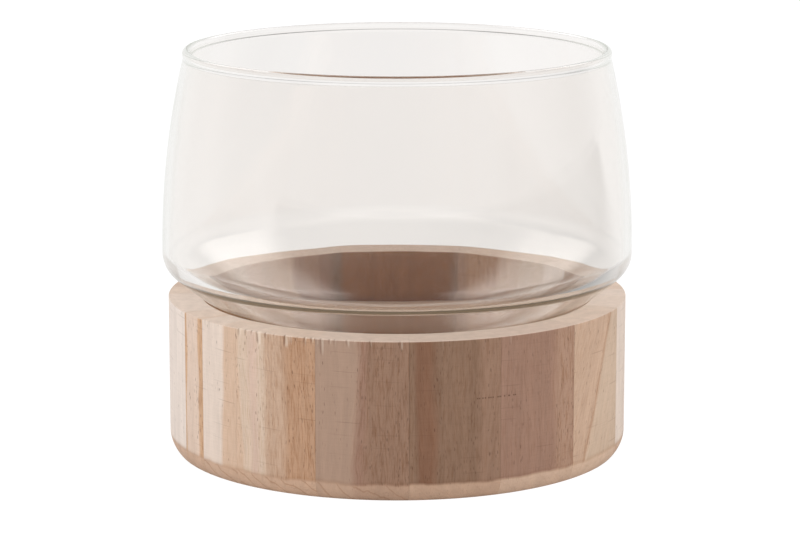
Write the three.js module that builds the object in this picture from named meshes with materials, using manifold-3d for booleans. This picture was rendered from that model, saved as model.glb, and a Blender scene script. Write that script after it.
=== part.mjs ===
// A glass vase that stands in a wooden base.
//
// The vase is one blown glass vessel: a wide mouth with a fire-polished bead, a side that swells gently
// towards a tight heel, and a round underside. The base is a ring glued up from upright staves and turned
// on a lathe, with a floor board held in a groove. Nothing fastens the two: the round underside of the
// glass hangs in the ring and rests on the ring's inner top edge.
//
// Millimetres, +Z up, the front towards -Y, the origin at the middle of the base's underside.

import * as THREE from 'three';
import { mergeVertices } from 'three/addons/utils/BufferGeometryUtils.js';
import Module from 'manifold-3d';

const wasm = await Module();
wasm.setup();

const degrees = THREE.MathUtils.degToRad;

// Wooden ring
const RING_RADIUS = 95;
const RING_WALL = 13.7;
const RING_HEIGHT = 64.5;
const TOP_ARRIS = 0.5;
const FOOT_EDGE_HEIGHT = 7.5;
const FOOT_EDGE_DEPTH = 3.1;
const FOOT_EDGE_RADIUS = 12;

// Staves: equal shares of the ring, one of them made up of two narrow staves
const SHARES = 16;
const NARROW_PAIR_SHARE = 13;
const NARROW_PAIR_SPLIT = 0.42;
const FIRST_SEAM_ANGLE = degrees(2.9);
const GLUE_GAP = 0.3;
const FACETS_PER_SHARE = 8;

// Floor board and its groove
const FLOOR_HEIGHT = 5;
const FLOOR_THICKNESS = 8;
const FLOOR_EDGE_CHAMFER = 0.8;
const GROOVE_DEPTH = 3.5;
const FLOOR_CLEARANCE = 0.3;

// Glass vessel, measured up from the middle of its underside
const GLASS_HEIGHT = 130.5;
const GLASS_RADIUS = 97.4;
const RIM_RADIUS = 88.2;
const RIM_BEAD_RADIUS = 1.8;
const RIM_BEAD_WRAP = degrees(40);
const GLASS_WALL = 3;
const GLASS_FLOOR = 4;
const HEEL_RADIUS = 11.2;
const INNER_HEEL_RADIUS = 9.5;
const UNDERSIDE_SLOPE = degrees(37.8);
const UNDERSIDE_STRAIGHT = 13.7;
const UNDERSIDE_THICKNESS = 3.5;
const GLASS_FACETS = 72;
const SEAT_CLEARANCE = 0.3;

const ringInnerRadius = RING_RADIUS - RING_WALL;

const woodPale = new THREE.MeshStandardMaterial({ color: '#c9ab93', roughness: 0.72, metalness: 0, flatShading: true });
const woodBrown = new THREE.MeshStandardMaterial({ color: '#a88a72', roughness: 0.72, metalness: 0, flatShading: true });
const woodPink = new THREE.MeshStandardMaterial({ color: '#bb9a88', roughness: 0.72, metalness: 0, flatShading: true });
const woodBoard = new THREE.MeshStandardMaterial({ color: '#b79a80', roughness: 0.78, metalness: 0, flatShading: true });
const clearGlass = new THREE.MeshStandardMaterial({
  color: '#eef3f0',
  roughness: 0.03,
  metalness: 0,
  transparent: true,
  opacity: 0.35,
});

// Points on an arc in a profile, as radius and height, from one angle to another.
function arcPoints(centreRadius, centreHeight, radius, from, to, steps) {
  const points = [];
  for (let i = 0; i <= steps; i++) {
    const angle = from + ((to - from) * i) / steps;
    points.push(new THREE.Vector2(centreRadius + radius * Math.cos(angle), centreHeight + radius * Math.sin(angle)));
  }
  return points;
}

// Turns a profile about +Z; the first facet edge lies at startAngle, counted from the front to the right.
function turned(profile, facets, startAngle = 0) {
  return new THREE.LatheGeometry(profile, facets, startAngle).rotateX(Math.PI / 2);
}

function toSolid(geometry) {
  const bare = geometry.clone();
  bare.deleteAttribute('normal');
  bare.deleteAttribute('uv');
  const merged = mergeVertices(bare);
  return new wasm.Manifold(new wasm.Mesh({
    numProp: 3,
    vertProperties: merged.attributes.position.array,
    triVerts: new Uint32Array(merged.index.array),
  }));
}

function fromSolid(solid) {
  const { vertProperties, triVerts } = solid.getMesh();
  const geometry = new THREE.BufferGeometry();
  geometry.setAttribute('position', new THREE.BufferAttribute(new Float32Array(vertProperties), 3));
  geometry.setIndex(new THREE.BufferAttribute(new Uint32Array(triVerts), 1));
  geometry.computeVertexNormals();
  return geometry;
}

function named(name, geometry, material) {
  const mesh = new THREE.Mesh(geometry, material);
  mesh.name = name;
  return mesh;
}

// The rounded lower edge runs from the wall down to the underside on an arc that meets both at an arris.
function footEdge() {
  const upper = new THREE.Vector2(RING_RADIUS, FOOT_EDGE_HEIGHT);
  const lower = new THREE.Vector2(RING_RADIUS - FOOT_EDGE_DEPTH, 0);
  const middle = upper.clone().add(lower).multiplyScalar(0.5);
  const chord = upper.clone().sub(lower);
  const inward = new THREE.Vector2(-chord.y, chord.x).normalize();
  const setback = Math.sqrt(FOOT_EDGE_RADIUS ** 2 - (chord.length() / 2) ** 2);
  const centre = middle.addScaledVector(inward, setback);
  const from = Math.atan2(lower.y - centre.y, lower.x - centre.x);
  const to = Math.atan2(upper.y - centre.y, upper.x - centre.x);
  return arcPoints(centre.x, centre.y, FOOT_EDGE_RADIUS, from, to, 3);
}

// The ring's section: foot edge, wall, eased top edges, bore and the groove for the floor board.
function ringProfile() {
  const grooveRadius = ringInnerRadius + GROOVE_DEPTH;
  const grooveBottom = FLOOR_HEIGHT - FLOOR_CLEARANCE;
  const grooveTop = FLOOR_HEIGHT + FLOOR_THICKNESS + FLOOR_CLEARANCE;
  const points = [
    new THREE.Vector2(ringInnerRadius, 0),
    ...footEdge(),
    new THREE.Vector2(RING_RADIUS, RING_HEIGHT - TOP_ARRIS),
    new THREE.Vector2(RING_RADIUS - TOP_ARRIS, RING_HEIGHT),
    new THREE.Vector2(ringInnerRadius, RING_HEIGHT),
    new THREE.Vector2(ringInnerRadius, grooveTop),
    new THREE.Vector2(grooveRadius, grooveTop),
    new THREE.Vector2(grooveRadius, grooveBottom),
    new THREE.Vector2(ringInnerRadius, grooveBottom),
  ];
  points.push(points[0].clone());
  return points;
}

// An upright wedge between two seams, half a glue gap short of each.
function wedge(fromAngle, toAngle) {
  const half = (toAngle - fromAngle) / 2;
  const middle = (toAngle + fromAngle) / 2;
  const apexOffset = GLUE_GAP / 2 / Math.sin(half);
  const reach = 2 * RING_RADIUS;
  const along = (angle) => new THREE.Vector2(Math.sin(angle), -Math.cos(angle));
  const apex = along(middle).multiplyScalar(apexOffset);
  const outline = new THREE.Shape([
    apex,
    apex.clone().addScaledVector(along(fromAngle), reach),
    apex.clone().addScaledVector(along(toAngle), reach),
  ]);
  const margin = 1;
  const block = new THREE.ExtrudeGeometry(outline, { depth: RING_HEIGHT + 2 * margin, bevelEnabled: false });
  return block.translate(0, 0, -margin);
}

// The turned ring is one solid of revolution, cut at the seams into its staves.
function staves() {
  const ring = toSolid(turned(ringProfile(), SHARES * FACETS_PER_SHARE, FIRST_SEAM_ANGLE));
  const shareAngle = (2 * Math.PI) / SHARES;
  const seams = [];
  for (let share = 0; share < SHARES; share++) {
    seams.push(FIRST_SEAM_ANGLE + share * shareAngle);
    if (share === NARROW_PAIR_SHARE) {
      seams.push(FIRST_SEAM_ANGLE + (share + NARROW_PAIR_SPLIT) * shareAngle);
    }
  }
  seams.push(FIRST_SEAM_ANGLE + 2 * Math.PI);

  const tones = [woodPink, woodPale, woodBrown];
  const group = new THREE.Group();
  for (let i = 0; i < seams.length - 1; i++) {
    const stave = ring.intersect(toSolid(wedge(seams[i], seams[i + 1])));
    const name = `stave_${String(i + 1).padStart(2, '0')}`;
    group.add(named(name, fromSolid(stave), tones[i % tones.length]));
  }
  return group;
}

// The floor board is a turned disc whose edge sits in the staves' groove.
function floorBoard() {
  const radius = ringInnerRadius + GROOVE_DEPTH - FLOOR_CLEARANCE;
  const top = FLOOR_HEIGHT + FLOOR_THICKNESS;
  const profile = [
    new THREE.Vector2(0, FLOOR_HEIGHT),
    new THREE.Vector2(radius - FLOOR_EDGE_CHAMFER, FLOOR_HEIGHT),
    new THREE.Vector2(radius, FLOOR_HEIGHT + FLOOR_EDGE_CHAMFER),
    new THREE.Vector2(radius, top - FLOOR_EDGE_CHAMFER),
    new THREE.Vector2(radius - FLOOR_EDGE_CHAMFER, top),
    new THREE.Vector2(0, top),
  ];
  return named('floor_board', turned(profile, SHARES * FACETS_PER_SHARE / 2, FIRST_SEAM_ANGLE), woodBoard);
}

const slopeSin = Math.sin(UNDERSIDE_SLOPE);
const slopeCos = Math.cos(UNDERSIDE_SLOPE);
const slopeTan = Math.tan(UNDERSIDE_SLOPE);

// One skin of the glass below its side: a round bowl, a straight slope and the heel's arc.
// The bowl is centred on the axis, with the radius at which it touches the slope.
function bowlCurve({ bottom, heelCentre, heelRadius }) {
  const heelFoot = new THREE.Vector2(heelCentre.x + heelRadius * slopeSin, heelCentre.y - heelRadius * slopeCos);
  const slopeAtAxis = heelFoot.y - heelFoot.x * slopeTan;
  const bowlRadius = ((bottom - slopeAtAxis) * slopeCos) / (1 - slopeCos);
  return { bottom, bowlRadius, bowlEdge: bowlRadius * slopeSin, heelCentre, heelRadius, heelFoot };
}

// The straight slope's reach sets how deep the bowl is, and so how high the heel lies above its bottom.
const heelCentreRadius = GLASS_RADIUS - HEEL_RADIUS;
const bowlEdgeRadius = heelCentreRadius + HEEL_RADIUS * slopeSin - UNDERSIDE_STRAIGHT;
const bowlDepth = (bowlEdgeRadius / slopeSin) * (1 - slopeCos);
const heelHeight = bowlDepth + UNDERSIDE_STRAIGHT * slopeTan + HEEL_RADIUS * slopeCos;

const outerBowl = bowlCurve({
  bottom: 0,
  heelCentre: new THREE.Vector2(heelCentreRadius, heelHeight),
  heelRadius: HEEL_RADIUS,
});

// The inner heel touches the inside of the side wall and a line parallel to the straight underside.
const innerHeelCentre = new THREE.Vector2(GLASS_RADIUS - GLASS_WALL - INNER_HEEL_RADIUS, 0);
innerHeelCentre.y = outerBowl.heelFoot.y
  + (UNDERSIDE_THICKNESS + INNER_HEEL_RADIUS + (innerHeelCentre.x - outerBowl.heelFoot.x) * slopeSin) / slopeCos;

const innerBowl = bowlCurve({
  bottom: GLASS_FLOOR,
  heelCentre: innerHeelCentre,
  heelRadius: INNER_HEEL_RADIUS,
});

// Points of one skin from the axis out and up to the top of its heel.
function bowlPoints({ bottom, bowlRadius, heelCentre, heelRadius }) {
  const down = -Math.PI / 2;
  return [
    new THREE.Vector2(0, bottom),
    ...arcPoints(0, bottom + bowlRadius, bowlRadius, down, down + UNDERSIDE_SLOPE, 7).slice(1),
    ...arcPoints(heelCentre.x, heelCentre.y, heelRadius, down + UNDERSIDE_SLOPE, 0, 6),
  ];
}

// The side is one arc, upright at the heel and leaning in to the rim.
function sidePoints(heelTop, rimEnd) {
  const rise = rimEnd.y - heelTop.y;
  const lean = heelTop.x - rimEnd.x;
  const radius = (rise ** 2 + lean ** 2) / (2 * lean);
  const sweep = Math.asin(rise / radius);
  return arcPoints(heelTop.x - radius, heelTop.y, radius, 0, sweep, 7);
}

// Outer skin up to the rim, round the fire-polished bead, and down the inner skin to the axis.
function glassProfile() {
  const beadCentre = new THREE.Vector2(RIM_RADIUS - RIM_BEAD_RADIUS, GLASS_HEIGHT - RIM_BEAD_RADIUS);
  const bead = arcPoints(beadCentre.x, beadCentre.y, RIM_BEAD_RADIUS, -RIM_BEAD_WRAP, Math.PI + RIM_BEAD_WRAP, 8);
  const outer = bowlPoints(outerBowl);
  const inner = bowlPoints(innerBowl);
  const outerSide = sidePoints(outer.at(-1), bead[0]);
  const innerSide = sidePoints(inner.at(-1), bead.at(-1));
  return [
    ...outer,
    ...outerSide.slice(1, -1),
    ...bead,
    ...innerSide.slice(1, -1).reverse(),
    ...inner.reverse(),
  ];
}

// Height and slope of the glass's outer underside at a radius, in the vessel's own frame.
function undersideAt(radius) {
  const { bowlRadius, bowlEdge, heelFoot, heelCentre, heelRadius } = outerBowl;
  if (radius <= bowlEdge) {
    const slope = Math.asin(radius / bowlRadius);
    return { height: bowlRadius * (1 - Math.cos(slope)), slope };
  }
  if (radius <= heelFoot.x) {
    return { height: heelFoot.y - (heelFoot.x - radius) * slopeTan, slope: UNDERSIDE_SLOPE };
  }
  const slope = Math.asin((radius - heelCentre.x) / heelRadius);
  return { height: heelCentre.y - heelRadius * Math.cos(slope), slope };
}

// The vessel sinks into the ring until its underside meets the ring's inner top edge.
function glassVessel() {
  const contact = undersideAt(ringInnerRadius);
  const vessel = named('glass_vessel', turned(glassProfile(), GLASS_FACETS), clearGlass);
  vessel.position.z = RING_HEIGHT - contact.height + SEAT_CLEARANCE / Math.cos(contact.slope);
  return vessel;
}

const base = new THREE.Group();
base.add(staves(), floorBoard());

const vase = new THREE.Group();
vase.add(base, glassVessel());

export default vase;
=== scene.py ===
"""A clear glass vase in a coopered wooden base, dressed for rendering.

The vase is one blown vessel that hangs in the base by its round underside. The base is a ring of seventeen
upright staves, glued edge to edge and turned on a lathe, round a floor board.

Metres, +Z up, the front towards -Y. Azimuths are counted from the front towards the right.
"""

import math

import bpy
from bpy.props import FloatProperty, FloatVectorProperty, IntProperty, PointerProperty
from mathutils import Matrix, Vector


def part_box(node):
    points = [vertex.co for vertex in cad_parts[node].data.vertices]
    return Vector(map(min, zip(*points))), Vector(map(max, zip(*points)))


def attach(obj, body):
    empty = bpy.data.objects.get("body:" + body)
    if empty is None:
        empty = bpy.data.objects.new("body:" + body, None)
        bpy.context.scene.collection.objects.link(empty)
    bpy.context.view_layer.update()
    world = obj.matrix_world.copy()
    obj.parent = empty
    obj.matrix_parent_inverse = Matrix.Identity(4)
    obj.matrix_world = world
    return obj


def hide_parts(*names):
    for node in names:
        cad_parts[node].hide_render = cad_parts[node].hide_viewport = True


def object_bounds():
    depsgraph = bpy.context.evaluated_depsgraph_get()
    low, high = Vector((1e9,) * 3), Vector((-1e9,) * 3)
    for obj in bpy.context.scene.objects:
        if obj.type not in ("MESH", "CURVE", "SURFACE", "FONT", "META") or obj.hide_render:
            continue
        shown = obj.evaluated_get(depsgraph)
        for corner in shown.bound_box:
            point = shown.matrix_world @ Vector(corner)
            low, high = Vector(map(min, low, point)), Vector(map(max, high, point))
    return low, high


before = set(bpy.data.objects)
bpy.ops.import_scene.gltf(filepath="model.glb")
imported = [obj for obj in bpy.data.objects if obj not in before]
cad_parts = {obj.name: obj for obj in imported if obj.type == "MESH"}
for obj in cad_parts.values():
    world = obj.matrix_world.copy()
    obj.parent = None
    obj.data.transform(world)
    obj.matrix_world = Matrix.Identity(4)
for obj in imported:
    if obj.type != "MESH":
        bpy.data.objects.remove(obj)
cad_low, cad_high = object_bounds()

bl_info = {
    "name": "Glass vase in a wooden base",
    "version": (1, 0, 0),
    "blender": (4, 5, 0),
    "location": "View3D > Sidebar > Vase",
    "description": "Makes the looks of a blown glass vase that stands in a coopered wooden base",
    "category": "Object",
}

MM = 0.001

STAVES = sorted(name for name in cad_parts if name.startswith("stave_"))
STAVE_POINTS = [vertex.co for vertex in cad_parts[STAVES[0]].data.vertices]
RING_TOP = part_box(STAVES[0])[1].z
RING_OUTER_RADIUS = max(point.xy.length for point in STAVE_POINTS)
RING_INNER_RADIUS = min(point.xy.length for point in STAVE_POINTS if point.z > RING_TOP - MM)
GLASS_LOW, GLASS_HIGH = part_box("glass_vessel")


def linear(code):
    """An sRGB hex colour as linear red, green and blue."""
    shares = [int(code[i:i + 2], 16) / 255 for i in (1, 3, 5)]
    return tuple(c / 12.92 if c <= 0.04045 else ((c + 0.055) / 1.055) ** 2.4 for c in shares)


def length(name, description, default):
    """A size of the object, in metres."""
    return FloatProperty(name=name, description=description, default=default, min=0, unit="LENGTH",
                         subtype="DISTANCE")


def angle(name, description, degrees):
    """An angle, given in degrees."""
    return FloatProperty(name=name, description=description, default=math.radians(degrees),
                         subtype="ANGLE", unit="ROTATION")


def amount(name, description, default):
    """A plain number that isn't below zero."""
    return FloatProperty(name=name, description=description, default=default, min=0)


def colour(name, description, code):
    """A colour that the user can change, given as sRGB hex."""
    return FloatVectorProperty(name=name, description=description, default=linear(code), size=3, min=0,
                               max=1, subtype="COLOR")


class RingSizes(bpy.types.PropertyGroup):
    """Sizes of the coopered ring."""

    outer_radius: length("Outer radius", "Radius of the turned wall", RING_OUTER_RADIUS)
    inner_radius: length("Inner radius", "Radius of the bore", RING_INNER_RADIUS)
    height: length("Height", "Height of the ring", RING_TOP)
    top_round: length("Top round", "Radius of the sanded outer top edge", 0.5 * MM)
    bore_round: length("Bore round", "Radius of the sanded inner edges", 0.3 * MM)
    foot_edge_height: length("Foot edge height", "Height of the rounded lower edge", 7.5 * MM)
    foot_edge_depth: length("Foot edge depth", "How far the lower edge draws in", 3.1 * MM)
    foot_edge_radius: length("Foot edge radius", "Radius of the rounded lower edge", 12 * MM)
    groove_depth: length("Groove depth", "Depth of the floor board's groove", 3.5 * MM)
    groove_low: length("Groove bottom", "Height of the groove's lower side", 4.7 * MM)
    groove_high: length("Groove top", "Height of the groove's upper side", 13.3 * MM)
    modelled_gap: length("Modelled gap", "Gap between the staves of the fixed frame", 0.3 * MM)
    glue_line: length("Glue line", "Width of the hairline between two staves", 0.05 * MM)
    torn_height: length("Torn height", "How far torn fibres run down from the top edge", 9 * MM)
    torn_depth: length("Torn depth", "How deep the torn fibres are", 0.4 * MM)
    steps: IntProperty(name="Steps", description="Steps across one stave of full width", default=110, min=8)


class GlassSizes(bpy.types.PropertyGroup):
    """Sizes of the blown vessel."""

    underside: length("Underside", "Height of the lowest point", GLASS_LOW.z)
    height: length("Height", "Height from the underside to the rim", GLASS_HIGH.z - GLASS_LOW.z)
    radius: length("Radius", "Radius at the heel", GLASS_HIGH.x)
    rim_radius: length("Rim radius", "Outer radius of the rim", 88.2 * MM)
    bead_radius: length("Bead radius", "Radius of the fire-polished bead", 1.8 * MM)
    wall: length("Wall", "Thickness of the side", 3 * MM)
    floor: length("Floor", "Thickness of the middle of the bottom", 4 * MM)
    underside_wall: length("Underside wall", "Thickness of the sloping underside", 3.5 * MM)
    heel_radius: length("Heel radius", "Outer radius of the heel", 11.2 * MM)
    inner_heel_radius: length("Inner heel radius", "Inner radius of the heel", 9.5 * MM)
    straight: length("Underside straight", "Reach of the straight slope between bowl and heel", 13.7 * MM)
    ripple: length("Ripple", "How far the inner skin wanders from a true turned shape", 0.1 * MM)
    slope: angle("Slope", "Slope of the underside", 37.8)
    bead_wrap: angle("Bead wrap", "How far the bead wraps past its widest points", 40)
    steps: IntProperty(name="Steps", description="Steps round the axis", default=256, min=16)


class WoodColours(bpy.types.PropertyGroup):
    """Colours of the wood."""

    cream: colour("Cream", "Outermost sapwood", "#D9CBC1")
    ivory: colour("Ivory", "Pale sapwood", "#D3C2B5")
    beige: colour("Beige", "Plain sapwood", "#CAB4A1")
    rose: colour("Rose", "Pinkish sapwood", "#D0BAAA")
    sand: colour("Sand", "Warm sapwood", "#C8AC96")
    blush: colour("Blush", "Pale pink stripes", "#C6AC9C")
    fallow: colour("Fallow", "Plain beige wood", "#C0A893")
    amber: colour("Amber", "Orange lines", "#C39F80")
    tan: colour("Tan", "Wood between sapwood and heartwood", "#BB9E88")
    honey: colour("Honey", "Orange-brown wood", "#B18D72")
    ash: colour("Ash", "Greyish pink heartwood", "#A18674")
    fawn: colour("Fawn", "Speckled orange-brown heartwood", "#A2826E")
    mauve: colour("Mauve", "Mauve-brown heartwood", "#937362")
    umber: colour("Umber", "Brown-grey heartwood", "#8E705D")
    cocoa: colour("Cocoa", "Plain brown heartwood", "#836754")
    russet: colour("Russet", "Reddish brown heartwood", "#7C5A46")
    # Painted shade: a dark brown that stands for the shade on the bore inside the ring, used for the rear
    # staves
    bore_painted_shade_brown: colour("Walnut", "Dark heartwood, as the bore shows it", "#8B5F40")
    streak: colour("Streak", "What a brown streak leaves of the colour below it", "#D2BCA4")
    # Partly painted light: the top face's end grain is painted paler, for the light that falls on it from
    # above
    end_grain_with_painted_light: colour("End grain", "Sanded end grain on the top face", "#CDB8A9")
    # Partly painted light: the rounded foot edge is painted paler, for the light it takes from the floor
    foot_grain_with_painted_light: colour("Foot grain", "Sloping grain on the rounded foot edge", "#BE9F88")
    # Also the colour of the painted shadow in the notches beside torn fibres
    pore: colour("Pore", "Inside of an open pore", "#54382A")
    torn: colour("Torn", "Freshly torn fibres", "#E2D2C2")


class StudioSettings(bpy.types.PropertyGroup):
    """Light, floor and camera."""

    sky: amount("Sky", "Strength of the even light from all round", 0.38)
    overhead: amount("Overhead", "How much stronger the light is from above and in front", 0.95)
    ceiling: amount("Ceiling", "Brightness overhead, as glass mirrors it", 0.08)
    backdrop_top: amount("Backdrop top", "Sine of the elevation up to which glass mirrors the backdrop", 0.25)
    side_boxes: amount("Side boxes", "Brightness of two soft boxes behind, as glass mirrors them", 2.4)
    lamp_power: amount("Lamp power", "Power of each side lamp, in watts", 7.5)
    lamp_distance: length("Lamp distance", "Distance of the side lamps from the axis", 1.3)
    lamp_height: length("Lamp height", "Height of the side lamps", 0.9)
    lamp_front: length("Lamp front", "How far the side lamps stand in front of the axis", 0.35)
    lamp_width: length("Lamp width", "Width of each side lamp", 1.3)
    lamp_length: length("Lamp length", "Height of each side lamp", 1.5)
    floor_size: length("Floor size", "Width of the floor", 20)
    focal_length: amount("Focal length", "Focal length in millimetres", 140.035)
    film_width: amount("Film width", "Width of the camera's film in millimetres", 36)
    camera_distance: length("Camera distance", "Distance of the camera in front of the axis", 1.26934)
    camera_height: length("Camera height", "Height of the camera", 0.33081)
    camera_right: length("Camera right", "How far the camera stands to the right of the axis", 0.0012)
    camera_pitch: angle("Camera pitch", "How far the camera looks down", 11.3935)


# Each stave's bands from its left seam to its right: tone, share of the width, strength of the figure
BANDS = {
    "stave_01": [("cocoa", 0.07, 0.8), ("russet", 0.2, 0.5), ("cocoa", 0.5, 0.8), ("umber", 0.23, 0.6)],
    "stave_02": [("mauve", 0.72, 0.5), ("fawn", 0.28, 1.0)],
    "stave_03": [("tan", 0.4, 0.5), ("tan", 0.03, 1.0), ("honey", 0.016, 1.0), ("tan", 0.03, 0.9),
                 ("fallow", 0.524, 0.3)],
    "stave_04": [("ivory", 0.6, 0.05), ("cream", 0.4, 0.1)],
    "stave_05": [("sand", 0.35, 0.6), ("rose", 0.35, 0.2), ("tan", 0.3, 0.7)],
    "stave_06": [("ivory", 0.5, 0.1), ("fallow", 0.5, 0.3)],
    "stave_07": [("tan", 0.4, 0.5), ("honey", 0.42, 0.8), ("fawn", 0.18, 0.6)],
    # The rear staves take the dark brown of painted shade, as their bore lies in shade inside the ring
    "stave_08": [("umber", 0.14, 0.5), ("bore_painted_shade_brown", 0.86, 0.6)],
    "stave_09": [("bore_painted_shade_brown", 0.66, 0.5), ("cocoa", 0.14, 0.4), ("mauve", 0.2, 0.3)],
    "stave_10": [("fawn", 0.45, 0.6), ("tan", 0.55, 0.3)],
    "stave_11": [("tan", 0.3, 0.3), ("fallow", 0.4, 0.2), ("sand", 0.3, 0.8)],
    "stave_12": [("tan", 0.3, 0.6), ("honey", 0.3, 0.9), ("beige", 0.4, 0.3)],
    "stave_13": [("cream", 1.0, 0.0)],
    "stave_14": [("amber", 0.06, 0.8), ("rose", 0.72, 0.3), ("amber", 0.22, 1.0)],
    "stave_15": [("ivory", 0.62, 0.05), ("sand", 0.38, 0.3)],
    "stave_16": [("sand", 0.06, 0.6), ("beige", 0.15, 0.5), ("blush", 0.09, 0.25), ("beige", 0.1, 0.6),
                 ("tan", 0.26, 0.9), ("honey", 0.34, 1.0)],
    "stave_17": [("ash", 0.44, 0.12), ("mauve", 0.1, 0.9), ("umber", 0.46, 1.0)],
}
# How far a stave's grain leans from upright, in degrees, where it does
LEAN = {"stave_03": -19, "stave_05": 4, "stave_11": -5, "stave_16": 1.5}
# How much of the foot edge is end grain, where it isn't the usual amount
FOOT_SHARE = {"stave_01": 0.8, "stave_02": 0.8, "stave_17": 0.62}
USUAL_FOOT_SHARE = 0.92
# The tone of the foot edge, where it isn't the usual one: a paler one, painted light on the right, where the
# foot faces down and away from the light
FOOT_PAINTED_LIGHT_TONE = {"stave_02": "sand", "stave_03": "sand"}
# How strongly the growth rings show on the foot edge, where it isn't the usual amount
FOOT_LINES = {"stave_06": 0.5, "stave_10": 0.5, "stave_15": 0.55, "stave_16": 0.6, "stave_17": 0.5}
USUAL_FOOT_LINES = 0.12
# How much of the top edge is torn, where it isn't the usual amount
TORN = {"stave_15": 0.4, "stave_16": 1.0, "stave_17": 0.7}
USUAL_TORN = 0.2
# A level row of pin holes: its height, and where it starts and ends across the stave
PIN_HOLES = {"stave_01": (40.5 * MM, 0.72, 1.0), "stave_02": (40.5 * MM, 0.0, 0.2)}
# What a stave's number is multiplied by for its own part of the endless patterns, and the glass's part
WOOD_SEED, TEAR_SEED = 7.3, 3.1
GLASS_SEED = 4.0
# Corners at least this steep look crisp: those of cut wood do, and fire leaves none on the glass
CUT_CORNER = math.radians(32)
FIRE_POLISHED_CORNER = math.radians(70)


def connect(tree, node, inputs):
    """Sets a node's inputs, or links them to sockets or to the first outputs of other nodes."""
    for key, value in inputs.items():
        source = value.outputs[0] if isinstance(value, bpy.types.Node) else value
        if isinstance(source, bpy.types.NodeSocket):
            tree.links.new(source, node.inputs[key])
        else:
            node.inputs[key].default_value = source


def add(tree, kind, inputs=None, **settings):
    """Adds a node with its properties and inputs."""
    node = tree.nodes.new(kind)
    for name, value in settings.items():
        setattr(node, name, value)
    connect(tree, node, inputs or {})
    return node


def material_tree(name):
    """A new material and its tree, with only a shader and the output."""
    material = bpy.data.materials.new(name)
    material.use_nodes = True
    tree = material.node_tree
    return material, tree, tree.nodes["Principled BSDF"]


def arc_points(centre, radius, start, end, spacing):
    """Points of a section on an arc, from one angle to another."""
    steps = max(2, math.ceil(abs(end - start) * radius / spacing))
    angles = [start + (end - start) * i / steps for i in range(steps + 1)]
    return [Vector((centre[0] + radius * math.cos(a), centre[1] + radius * math.sin(a))) for a in angles]


def filled(points, spacing):
    """The same line with points added on its long straight stretches."""
    out = [points[0]]
    for start, end in zip(points, points[1:]):
        steps = max(1, math.ceil((end - start).length / spacing))
        out += [start.lerp(end, i / steps) for i in range(1, steps + 1)]
    return out


def foot_edge(ring, spacing):
    """The rounded lower edge, from the underside up to the wall."""
    upper = Vector((ring.outer_radius, ring.foot_edge_height))
    lower = Vector((ring.outer_radius - ring.foot_edge_depth, 0))
    chord = upper - lower
    inward = Vector((-chord.y, chord.x)).normalized()
    centre = (upper + lower) / 2 + inward * math.sqrt(ring.foot_edge_radius ** 2 - chord.length_squared / 4)
    start = math.atan2(lower.y - centre.y, lower.x - centre.x)
    end = math.atan2(upper.y - centre.y, upper.x - centre.x)
    return arc_points(centre, ring.foot_edge_radius, start, end, spacing)


def stave_section(ring):
    """The ring's closed section, as radius and height."""
    quarter = math.pi / 2
    arc_step, foot_step, wall_step = 0.1 * MM, 0.6 * MM, 2 * MM
    torn_step, top_step, bore_step = 0.5 * MM, 0.8 * MM, 3 * MM
    groove_radius = ring.inner_radius + ring.groove_depth
    bore, low, high = ring.bore_round, ring.groove_low, ring.groove_high
    top, torn_from = ring.height, ring.height - ring.torn_height
    outer = foot_edge(ring, foot_step)
    outer += filled([outer[-1], Vector((ring.outer_radius, torn_from))], wall_step)[1:]
    outer += filled([outer[-1], Vector((ring.outer_radius, top - ring.top_round))], torn_step)[1:]
    outer += arc_points((ring.outer_radius - ring.top_round, top - ring.top_round), ring.top_round,
                        0, quarter, arc_step)[1:]
    across = filled([outer[-1], Vector((ring.inner_radius + bore, top))], top_step)[1:]
    across += arc_points((ring.inner_radius + bore, top - bore), bore, quarter, 2 * quarter, arc_step)[1:]
    down = filled([across[-1], Vector((ring.inner_radius, high))], bore_step)[1:]
    down += [Vector((groove_radius, high)), Vector((groove_radius, low)), Vector((ring.inner_radius, low))]
    down += arc_points((ring.inner_radius + bore, bore), bore, 2 * quarter, 3 * quarter, arc_step)
    return outer + across + down


def bowl_points(glass, bottom, heel_centre, heel_radius, spacing):
    """One skin from the axis out and up to the top of the heel: round bowl, straight slope, heel."""
    down = -math.pi / 2
    heel = arc_points(heel_centre, heel_radius, down + glass.slope, 0, spacing)
    slope_at_axis = heel[0].y - heel[0].x * math.tan(glass.slope)
    bowl_radius = (bottom - slope_at_axis) * math.cos(glass.slope) / (1 - math.cos(glass.slope))
    bowl = arc_points((0, bottom + bowl_radius), bowl_radius, down, down + glass.slope, 3 * spacing)
    return [Vector((0, bottom))] + bowl[1:] + filled([bowl[-1], heel[0]], 3 * spacing)[1:] + heel[1:]


def side_points(heel_top, rim_end, spacing):
    """The side of one skin: an arc that stands upright at the heel."""
    rise, lean = rim_end.y - heel_top.y, heel_top.x - rim_end.x
    radius = (rise ** 2 + lean ** 2) / (2 * lean)
    return arc_points((heel_top.x - radius, heel_top.y), radius, 0, math.asin(rise / radius), spacing)


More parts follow.
